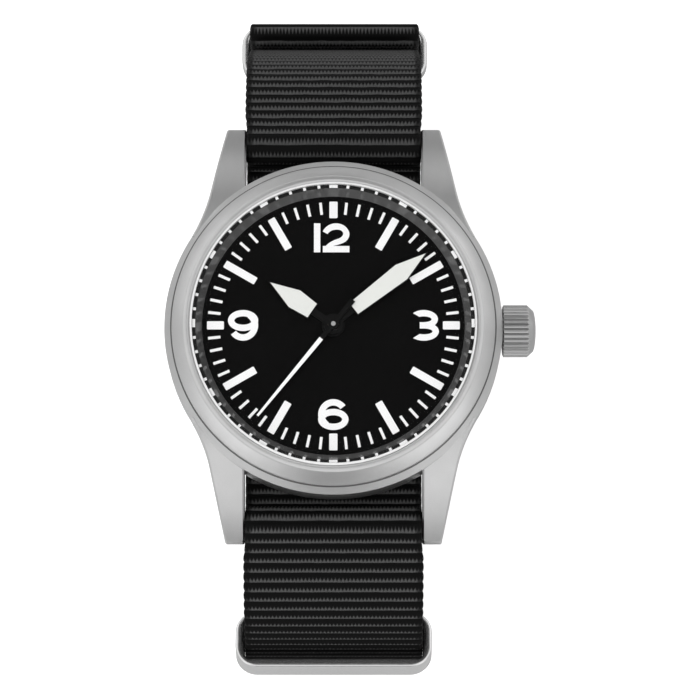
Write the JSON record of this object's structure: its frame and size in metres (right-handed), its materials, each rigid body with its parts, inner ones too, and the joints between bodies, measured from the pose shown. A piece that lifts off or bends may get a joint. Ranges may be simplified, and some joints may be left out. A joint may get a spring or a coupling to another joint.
{
  "type": "field watch",
  "caption": "Three-hand field watch with a blasted steel case, black dial and a ribbed pass-through strap closed in a loop by a buckle and rings.",
  "frame": {"origin": "on the dial axis, where the strap under the case lies on the wrist", "axes": "+Z out of the dial, +Y towards 12 o'clock, +X towards the crown"},
  "size_m": [0.0419, 0.0806, 0.0568],
  "materials": {
    "blasted_steel": "matte blasted",
    "ring_steel": "fine brushed",
    "bar_steel": "turned",
    "crystal_glass": "polished",
    "seal_rubber": "matte",
    "dial_black": "matte lacquer",
    "flange_black": "gloss lacquer",
    "print_white": "printed",
    "lume_white": "matte fill",
    "hand_black": "satin lacquer",
    "hand_white": "satin lacquer",
    "ring_plastic": "moulded",
    "plate_brass": "grained",
    "wheel_brass": "polished",
    "pinion_steel": "polished",
    "magnet_dark": "ground",
    "coil_copper": "enamelled wire",
    "board_green": "solder mask",
    "chip_black": "moulded",
    "cell_steel": "pressed",
    "nylon_black": "ribbed webbing"
  },
  "bodies": {
    "watch_head_and_strap": {"case_middle": "blasted_steel", "bezel": "blasted_steel", "crystal": "crystal_glass", "crystal_gasket": "seal_rubber", "case_back": "blasted_steel", "case_back_gasket": "seal_rubber", "crown_tube": "bar_steel", "dial": "dial_black", "dial_markers": "print_white", "flange_ring": "flange_black", "flange_marks": "print_white", "movement_ring": "ring_plastic", "main_plate": "plate_brass", "train_bridge": "plate_brass", "stator": "pinion_steel", "coil_core": "pinion_steel", "coil": "coil_copper", "dial_washer": "wheel_brass", "circuit_board": "board_green", "control_chip": "chip_black", "quartz_can": "cell_steel", "battery": "cell_steel", "battery_clamp": "bar_steel", "setting_spring": "pinion_steel", "movement_screws": "pinion_steel", "spring_bar_tubes": "bar_steel", "spring_bar_springs": "pinion_steel", "strap_main": "nylon_black", "strap_under": "nylon_black", "buckle_frame": "ring_steel"},
    "crown_seal": {"crown_gasket": "seal_rubber"},
    "crown_and_stem": {"crown": "blasted_steel", "winding_stem": "pinion_steel"},
    "clutch": {"clutch_pinion": "pinion_steel"},
    "lever": {"setting_lever": "pinion_steel"},
    "clutch_yoke": {"yoke": "pinion_steel"},
    "seconds": {"seconds_hand": "hand_black", "seconds_hand_lume": "hand_white", "fourth_wheel": "wheel_brass"},
    "third": {"third_wheel": "wheel_brass"},
    "centre": {"centre_wheel": "wheel_brass"},
    "fifth": {"fifth_wheel": "wheel_brass"},
    "motor_rotor": {"rotor": "magnet_dark"},
    "minutes": {"minute_hand": "hand_black", "minute_hand_lume": "lume_white", "cannon_pinion": "pinion_steel"},
    "hours": {"hour_hand": "hand_black", "hour_hand_lume": "lume_white", "hour_wheel": "wheel_brass"},
    "motion_wheel": {"minute_wheel": "wheel_brass"},
    "setting": {"setting_wheel": "pinion_steel"},
    "six_ring": {"slide_ring": "ring_steel"},
    "upper_keeper": {"keeper_ring_upper": "ring_steel"},
    "lower_keeper": {"keeper_ring_lower": "ring_steel"},
    "tongue": {"buckle_tongue": "ring_steel"},
    "bar_12_right": {"plunger_12_right": "bar_steel"},
    "bar_12_left": {"plunger_12_left": "bar_steel"},
    "bar_6_right": {"plunger_6_right": "bar_steel"},
    "bar_6_left": {"plunger_6_left": "bar_steel"}
  },
  "joints": [
    {"name": "crown_pull", "type": "slide", "parent": "watch_head_and_strap", "child": "crown_seal", "axis": [1, 0, 0], "range_m": [0, 0.0011]},
    {"name": "crown_turn", "type": "hinge", "parent": "crown_seal", "child": "crown_and_stem", "pos_m": [0.0193, 0, 0.00626], "axis": [1, 0, 0], "continuous": true},
    {"name": "clutch_slide", "type": "slide", "parent": "crown_and_stem", "child": "clutch", "axis": [-1, 0, 0], "range_m": [0, 0.0017]},
    {"name": "lever_swing", "type": "hinge", "parent": "watch_head_and_strap", "child": "lever", "pos_m": [0.0106, -0.0034, 0.00561], "axis": [0, 0, 1], "range_deg": [0, 12]},
    {"name": "yoke_swing", "type": "hinge", "parent": "watch_head_and_strap", "child": "clutch_yoke", "pos_m": [0.0084, 0.0042, 0.00536], "axis": [0, 0, 1], "range_deg": [-12, 0]},
    {"name": "seconds_turn", "type": "hinge", "parent": "watch_head_and_strap", "child": "seconds", "pos_m": [0, 0, 0.00996], "axis": [0, 0, -1], "continuous": true},
    {"name": "third_turn", "type": "hinge", "parent": "watch_head_and_strap", "child": "third", "pos_m": [-0.00288, 0.00105, 0.00996], "axis": [0, 0, -1], "continuous": true},
    {"name": "centre_turn", "type": "hinge", "parent": "watch_head_and_strap", "child": "centre", "pos_m": [0, 0, 0.00996], "axis": [0, 0, -1], "continuous": true},
    {"name": "fifth_turn", "type": "hinge", "parent": "watch_head_and_strap", "child": "fifth", "pos_m": [0.00165, -0.00286, 0.00996], "axis": [0, 0, -1], "continuous": true},
    {"name": "rotor_turn", "type": "hinge", "parent": "watch_head_and_strap", "child": "motor_rotor", "pos_m": [0.00069, -0.00549, 0.00996], "axis": [0, 0, -1], "continuous": true},
    {"name": "minute_turn", "type": "hinge", "parent": "watch_head_and_strap", "child": "minutes", "pos_m": [0, 0, 0.00996], "axis": [0, 0, -1], "continuous": true},
    {"name": "hour_turn", "type": "hinge", "parent": "watch_head_and_strap", "child": "hours", "pos_m": [0, 0, 0.00996], "axis": [0, 0, -1], "continuous": true},
    {"name": "minute_wheel_turn", "type": "hinge", "parent": "watch_head_and_strap", "child": "motion_wheel", "pos_m": [0.0027, 0, 0.00996], "axis": [0, 0, -1], "continuous": true},
    {"name": "setting_wheel_turn", "type": "hinge", "parent": "watch_head_and_strap", "child": "setting", "pos_m": [0.00574, 0, 0.00996], "axis": [0, 0, -1], "continuous": true},
    {"name": "six_ring_tilt", "type": "hinge", "parent": "watch_head_and_strap", "child": "six_ring", "pos_m": [0, -0.03137, -0.00713], "axis": [1, 0, 0], "range_deg": [-4, 4]},
    {"name": "upper_keeper_tilt", "type": "hinge", "parent": "watch_head_and_strap", "child": "upper_keeper", "pos_m": [0, 0.0366, -0.02274], "axis": [1, 0, 0], "range_deg": [-3, 3]},
    {"name": "lower_keeper_tilt", "type": "hinge", "parent": "watch_head_and_strap", "child": "lower_keeper", "pos_m": [0, 0.0234, -0.03728], "axis": [1, 0, 0], "range_deg": [-3, 3]},
    {"name": "tongue_swing", "type": "hinge", "parent": "watch_head_and_strap", "child": "tongue", "pos_m": [0, 0.007, -0.04014], "axis": [1, 0, 0], "range_deg": [0, 5]},
    {"name": "plunger_12_right_press", "type": "slide", "parent": "watch_head_and_strap", "child": "bar_12_right", "axis": [-1, 0, 0], "range_m": [0, 0.00095], "stiffness_N_per_m": 200, "springref_m": -0.0005},
    {"name": "plunger_12_left_press", "type": "slide", "parent": "watch_head_and_strap", "child": "bar_12_left", "axis": [1, 0, 0], "range_m": [0, 0.00095], "stiffness_N_per_m": 200, "springref_m": -0.0005},
    {"name": "plunger_6_right_press", "type": "slide", "parent": "watch_head_and_strap", "child": "bar_6_right", "axis": [-1, 0, 0], "range_m": [0, 0.00095], "stiffness_N_per_m": 200, "springref_m": -0.0005},
    {"name": "plunger_6_left_press", "type": "slide", "parent": "watch_head_and_strap", "child": "bar_6_left", "axis": [1, 0, 0], "range_m": [0, 0.00095], "stiffness_N_per_m": 200, "springref_m": -0.0005}
  ],
  "couplings": [
    {"joint": "clutch_slide", "follows": "crown_pull", "ratio": 1.5},
    {"joint": "lever_swing", "follows": "crown_pull", "rad_per_m": 185},
    {"joint": "yoke_swing", "follows": "crown_pull", "rad_per_m": -172},
    {"joint": "third_turn", "follows": "seconds_turn", "ratio": -0.125},
    {"joint": "centre_turn", "follows": "seconds_turn", "ratio": 0.016667},
    {"joint": "fifth_turn", "follows": "seconds_turn", "ratio": -5},
    {"joint": "rotor_turn", "follows": "seconds_turn", "ratio": 30},
    {"joint": "hour_turn", "follows": "minute_turn", "ratio": 0.083333},
    {"joint": "minute_wheel_turn", "follows": "minute_turn", "ratio": -0.33333},
    {"joint": "setting_wheel_turn", "follows": "minute_turn", "ratio": 0.66667}
  ]
}
